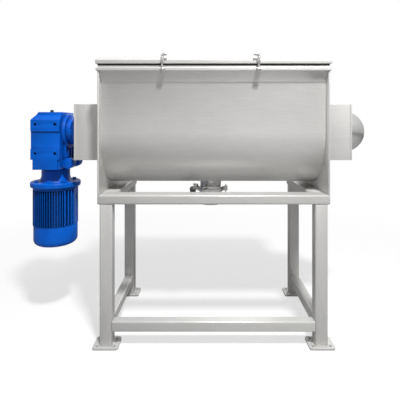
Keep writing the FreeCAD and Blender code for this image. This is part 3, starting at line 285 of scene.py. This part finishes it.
AIM = Vector((0, 0, 0.9))
KEY_DIRECTION = Vector((0.15, -0.54, 0.83))
KEY_DISTANCE = 5
KEY_SIZE, KEY_WATTS = 0.5, 320
BACK_PLACE = (0.8, 3.6, 2.4)
BACK_SIZE, BACK_WATTS = 2.4, 30


def make_camera():
    """Level view from the front, a little left of the middle, at lid height."""
    camera = bpy.data.objects.new("camera", bpy.data.cameras.new("camera"))
    bpy.context.collection.objects.link(camera)
    camera.data.lens = LENS
    camera.data.sensor_width = SENSOR
    camera.data.shift_x = SHIFT_X
    camera.data.shift_y = SHIFT_Y
    camera.location = CAMERA_PLACE
    camera.rotation_euler = (math.radians(90), 0, 0)
    bpy.context.scene.camera = camera


def lamp(name, place, aim, size, watts):
    """A square soft box that faces a point."""
    data = bpy.data.lights.new(name, "AREA")
    data.size = size
    data.energy = watts
    made = bpy.data.objects.new(name, data)
    made.location = place
    made.rotation_euler = (Vector(aim) - Vector(place)).to_track_quat("-Z", "Y").to_euler()
    bpy.context.collection.objects.link(made)


def make_world():
    """White to the camera; a studio to everything else, brighter overhead than at eye level."""
    world = bpy.data.worlds.new("studio")
    bpy.context.scene.world = world
    world.use_nodes = True
    tree = world.node_tree
    tree.nodes.clear()
    output = tree.nodes.new("ShaderNodeOutputWorld")
    seen = tree.nodes.new("ShaderNodeBackground")
    lit = tree.nodes.new("ShaderNodeBackground")
    seen.inputs["Color"].default_value = (1, 1, 1, 1)
    direction = tree.nodes.new("ShaderNodeTexCoord")
    split = tree.nodes.new("ShaderNodeSeparateXYZ")
    tree.links.new(direction.outputs["Generated"], split.inputs[0])
    ramp = tree.nodes.new("ShaderNodeValToRGB")
    ramp.color_ramp.elements[0].position = 0.0
    ramp.color_ramp.elements[0].color = (LEVEL_TONE, LEVEL_TONE, LEVEL_TONE, 1)
    ramp.color_ramp.elements[1].position = OVERHEAD_START
    ramp.color_ramp.elements[1].color = (OVERHEAD_TONE, OVERHEAD_TONE, OVERHEAD_TONE, 1)
    tree.links.new(split.outputs["Z"], ramp.inputs["Fac"])
    tree.links.new(ramp.outputs["Color"], lit.inputs["Color"])
    path = tree.nodes.new("ShaderNodeLightPath")
    level = tree.nodes.new("ShaderNodeMapRange")
    level.inputs["To Min"].default_value = MATT_LEVEL
    level.inputs["To Max"].default_value = GLOSSY_LEVEL
    tree.links.new(path.outputs["Is Glossy Ray"], level.inputs["Value"])
    tree.links.new(level.outputs["Result"], lit.inputs["Strength"])
    mix = tree.nodes.new("ShaderNodeMixShader")
    tree.links.new(path.outputs["Is Camera Ray"], mix.inputs["Fac"])
    tree.links.new(lit.outputs[0], mix.inputs[1])
    tree.links.new(seen.outputs[0], mix.inputs[2])
    tree.links.new(mix.outputs[0], output.inputs["Surface"])


def make_floor():
    """Pale floor: white to the camera apart from the machine's shadow, mid grey in reflections."""
    mesh = bpy.data.meshes.new("floor")
    shape = bmesh.new()
    bmesh.ops.create_circle(shape, cap_ends=True, radius=FLOOR_RADIUS, segments=128)
    shape.to_mesh(mesh)
    shape.free()
    floor = bpy.data.objects.new("floor", mesh)
    floor.location.z = cad_low.z - FLOOR_DROP
    bpy.context.collection.objects.link(floor)
    shader = Shader("floor")
    shader.wire(shader.ramp(shader.noise(0.6), 0.40, 0.44), shader.surface.inputs["Base Color"])
    shader.set(Roughness=0.85, Specular_IOR_Level=0.1)
    pale = shader.node("ShaderNodeBsdfDiffuse", {"Color": (0.92, 0.92, 0.92, 1)})
    glow = shader.node("ShaderNodeEmission")
    distance = shader.node("ShaderNodeVectorMath", {0: shader.place}, operation="LENGTH")
    fade = shader.node("ShaderNodeMapRange",
                       {"Value": distance.outputs["Value"], "From Min": FADE_START,
                        "From Max": FADE_END, "To Min": GLOW_NEAR, "To Max": 1.0},
                       interpolation_type="SMOOTHSTEP")
    shown = shader.node("ShaderNodeMixShader", {"Fac": fade.outputs["Result"]})
    shader.wire(pale.outputs[0], shown.inputs[1])
    shader.wire(glow.outputs[0], shown.inputs[2])
    path = shader.node("ShaderNodeLightPath")
    share = shader.node("ShaderNodeMixShader", {"Fac": path.outputs["Is Camera Ray"]})
    shader.wire(shader.surface.outputs[0], share.inputs[1])
    shader.wire(shown.outputs[0], share.inputs[2])
    shader.wire(share.outputs[0], shader.output.inputs["Surface"])
    mesh.materials.append(shader.material)


def make_lamps():
    """Key from high in front, a little to the right, and a weak light from behind."""
    lamp("key", AIM + KEY_DISTANCE * KEY_DIRECTION, AIM, KEY_SIZE, KEY_WATTS)
    lamp("back", BACK_PLACE, AIM, BACK_SIZE, BACK_WATTS)


# ---------------------------------------------------------------- dressing

EDGES = {
    "leg_": 0.0006, "top_rail_": 0.0008, "low_rail_": 0.0006, "foot_plates": 0.0012,
    "trough_shell": 0.0005, "end_plate_": 0.0012, "trough_rim": 0.0012, "lid_gasket": 0.0015,
    "bearing_box_": 0.0012, "bearing_covers": 0.0012, "gearbox_housing": 0.0022,
    "motor_adapter": 0.0015, "motor_frame": 0.0006, "fan_cowl": 0.0004, "terminal_box": 0.002,
    "flange_bolts": 0.0008, "vent_plug": 0.0008, "cable_gland": 0.001, "band_front": 0.0012,
    "band_rear": 0.0012, "band_fasteners": 0.001, "wing_nut": 0.0015, "valve_body": 0.0005,
    "valve_lever": 0.001, "valve_grip": 0.0025, "clamp_brackets": 0.0008, "clamp_pins": 0.0006,
    "clamp_arm_": 0.001, "clamp_bolt_": 0.0006, "hinge_brackets": 0.0006, "hinge_leaves": 0.0006,
    "hinge_pins": 0.0005, "outer_ribbon_": 0.0008, "inner_ribbon_": 0.0008, "lid": 0.0015,
    "bearing_cap": 0.0005,
}


def dress_nodes():
    """Give every CAD node its finish, and eased edges where its corners are sharp."""
    for name, piece in NODES.items():
        piece.data.materials.clear()
        piece.data.materials.append(material_for(name))
    for name in list(NODES):
        width = next((width for start, width in EDGES.items()
                      if name == start or (start.endswith("_") and name.startswith(start))), None)
        if width:
            ease(name, width)


make_camera()
make_world()
make_floor()
make_lamps()
dress_nodes()

bpy.context.scene.view_settings.view_transform = "Standard"
